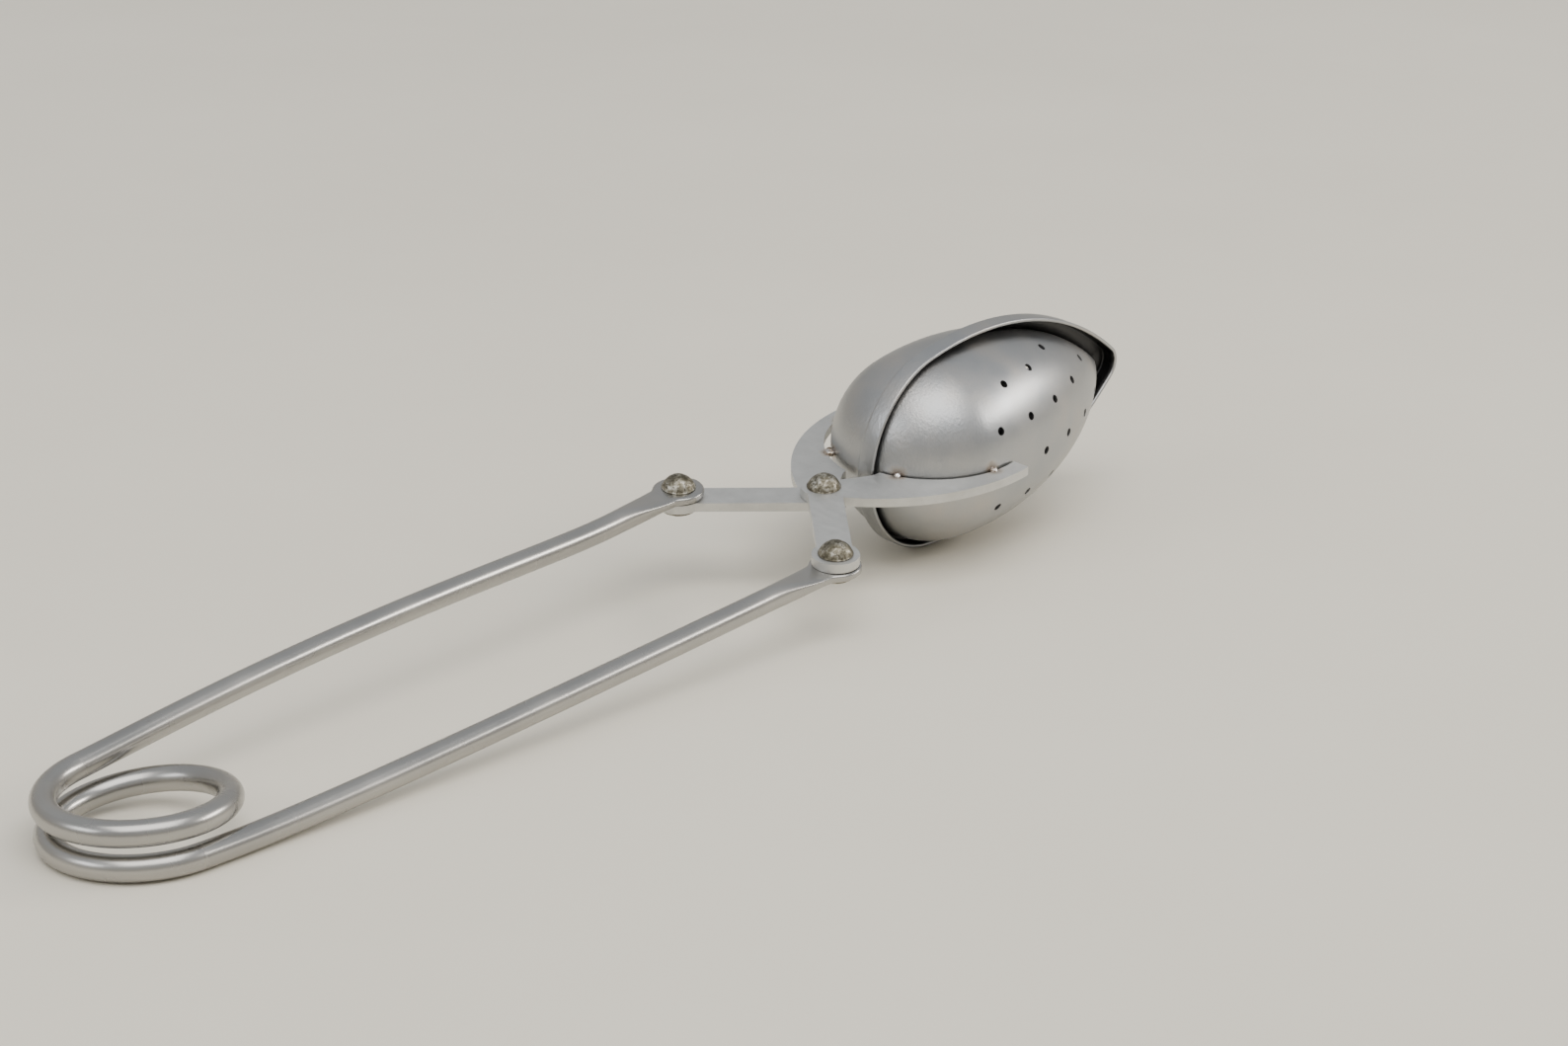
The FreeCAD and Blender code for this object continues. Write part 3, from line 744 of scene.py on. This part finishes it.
def rivet_material():
    """Tarnished rivets: olive brown, with dark pits and brighter worn spots."""
    nodes = Nodes("tarnished_rivet")
    patches = nodes.noise(900, 5, 0.65)
    pits = nodes.noise(2600, 4, 0.6)
    colour = nodes.ramp(patches, (0.35, (0.11, 0.10, 0.07)), (0.5, (0.24, 0.22, 0.17)),
                        (0.62, (0.55, 0.53, 0.46)))
    colour = nodes.mix(nodes.ramp(pits, (0.5, 0.0), (0.6, 0.8)), colour, (0.08, 0.07, 0.05, 1))
    roughness = nodes.remap(patches, 0.3, 0.7, 0.52, 0.36)
    normal = nodes.bump(patches, 0.00012, 0.7, nodes.bump(pits, 0.00005, 0.6))
    return nodes.metal(colour, roughness, normal)


def weld_material():
    """Bright beads with brown and blue oxide."""
    nodes = Nodes("weld_bead")
    oxide = nodes.noise(1300, 4, 0.6)
    colour = nodes.ramp(oxide, (0.35, (0.20, 0.13, 0.08)), (0.5, (0.50, 0.44, 0.38)),
                        (0.65, (0.72, 0.73, 0.75)))
    roughness = nodes.remap(oxide, 0.3, 0.7, 0.45, 0.2)
    return nodes.metal(colour, roughness, nodes.bump(oxide, 0.00008, 0.6))


# ------------------------------------------------------------------------ stage

def floor_material():
    """Matte, warm white, very faintly clouded."""
    nodes = Nodes("pale_floor")
    cloud = nodes.noise(9, 4, 0.6)
    colour = nodes.ramp(cloud, (0.3, (0.79, 0.745, 0.64)), (0.7, (0.83, 0.785, 0.68)))
    nodes.link(colour, nodes.shader.inputs["Base Color"])
    nodes.shader.inputs["Roughness"].default_value = 0.7
    nodes.link(nodes.bump(nodes.noise(500, 3), 0.0001, 0.2), nodes.shader.inputs["Normal"])
    return nodes.material


def build_floor():
    builder = bmesh.new()
    bmesh.ops.create_grid(builder, x_segments=1, y_segments=1, size=3.0)
    mesh = bpy.data.meshes.new("floor")
    builder.to_mesh(mesh)
    builder.free()
    floor = bpy.data.objects.new("floor", mesh)
    mesh.materials.append(floor_material())
    bpy.context.scene.collection.objects.link(floor)


def build_world():
    """A warm horizon under a slightly brighter, cooler ceiling."""
    world = bpy.data.worlds.new("studio")
    world.use_nodes = True
    tree = world.node_tree
    place = tree.nodes.new("ShaderNodeTexCoord")
    split = tree.nodes.new("ShaderNodeSeparateXYZ")
    ramp = tree.nodes.new("ShaderNodeValToRGB")
    elements = ramp.color_ramp.elements
    elements[0].position = 0.05
    elements[0].color = (0.52, 0.49, 0.44, 1)
    elements[1].position = 0.7
    elements[1].color = (0.58, 0.60, 0.62, 1)
    tree.links.new(place.outputs["Generated"], split.inputs[0])
    tree.links.new(split.outputs["Z"], ramp.inputs["Fac"])
    tree.links.new(ramp.outputs["Color"], tree.nodes["Background"].inputs["Color"])
    bpy.context.scene.world = world


def add_light(name, azimuth, elevation, distance, size, energy, colour):
    """A soft box that faces the object from a direction."""
    data = bpy.data.lights.new(name, "AREA")
    data.shape = "RECTANGLE"
    data.size, data.size_y = size
    data.energy = energy
    data.color = colour
    light = bpy.data.objects.new(name, data)
    towards = direction(azimuth, elevation)
    light.location = CAMERA_TARGET + towards * distance
    light.rotation_euler = towards.to_track_quat("Z", "Y").to_euler()
    bpy.context.scene.collection.objects.link(light)


def direction(azimuth, elevation):
    a, e = math.radians(azimuth), math.radians(elevation)
    return Vector((math.cos(a) * math.cos(e), math.sin(a) * math.cos(e), math.sin(e)))


def build_camera():
    data = bpy.data.cameras.new("camera")
    data.lens = CAMERA_LENS
    data.clip_start = 0.01
    camera = bpy.data.objects.new("camera", data)
    towards = direction(CAMERA_AZIMUTH, CAMERA_ELEVATION)
    roll = Matrix.Rotation(math.radians(CAMERA_ROLL), 4, "Z")
    turn = towards.to_track_quat("Z", "Y").to_matrix().to_4x4() @ roll
    place = Matrix.Translation(CAMERA_TARGET + towards * CAMERA_DISTANCE)
    camera.matrix_world = place @ turn
    bpy.context.scene.collection.objects.link(camera)
    bpy.context.scene.camera = camera


# ------------------------------------------------------------------------ build

def dress_lever(node, material):
    """A lever keeps its CAD mesh; its sheared edges get a small round-over."""
    lever = frame["nodes"][node]
    lever.data.materials.clear()
    lever.data.materials.append(material)
    edge = lever.modifiers.new("edge", "BEVEL")
    edge.width = PLATE_ROUND * MM
    edge.segments = 2
    edge.limit_method = "ANGLE"
    edge.angle_limit = math.radians(50)
    edge.harden_normals = True


def build_object():
    wire = wire_material()
    bowl = bowl_material()
    rivet = rivet_material()
    plate = plate_material()
    weld = weld_material()
    build_coil(wire)
    build_arm("rear_arm_wire", "rear_arm", 1, REAR_ARM_BOW, "rear_handle_arm", wire)
    build_arm("front_arm_wire", "front_arm", -1, FRONT_ARM_BOW, "front_handle_arm", wire)
    rear = Vector((-RIVET_BACK, RIVET_SIDE, 0))
    front = Vector((-RIVET_BACK, -RIVET_SIDE, 0))
    build_rivet("rear_rivet", "rear_arm_rivet", rear, 0, "rear_handle_arm", rivet)
    build_rivet("front_rivet", "front_arm_rivet", front, RUNNING_FIT, "front_handle_arm", rivet)
    build_rivet("pivot_rivet", "main_pivot_rivet", Vector(), 0, "front_jaw", rivet)
    build_shell("front_bowl_shell", -1, "front_jaw", bowl, "front_bowl")
    build_shell("rear_bowl_shell", 1, "rear_jaw", bowl, "rear_bowl")
    build_lip(bowl)
    build_welds("front_beads", "front_jaw_welds", FRONT_SPOTS, 0.5, "front_jaw", weld)
    build_welds("rear_beads", "rear_jaw_welds", REAR_SPOTS, 0.8, "rear_jaw", weld)
    dress_lever("rear_lever", plate)
    dress_lever("front_lever", plate)


build_object()
build_floor()
build_world()
add_light("overhead", -122, 64, 1.2, (1.2, 0.9), 11, (1.0, 0.97, 0.93))
add_light("left_window", 168, 30, 1.5, (0.7, 0.4), 3, (0.97, 0.98, 1.0))
add_light("right_wall", -38, 27, 1.5, (0.8, 0.22), 8, (1.0, 0.95, 0.88))
build_camera()
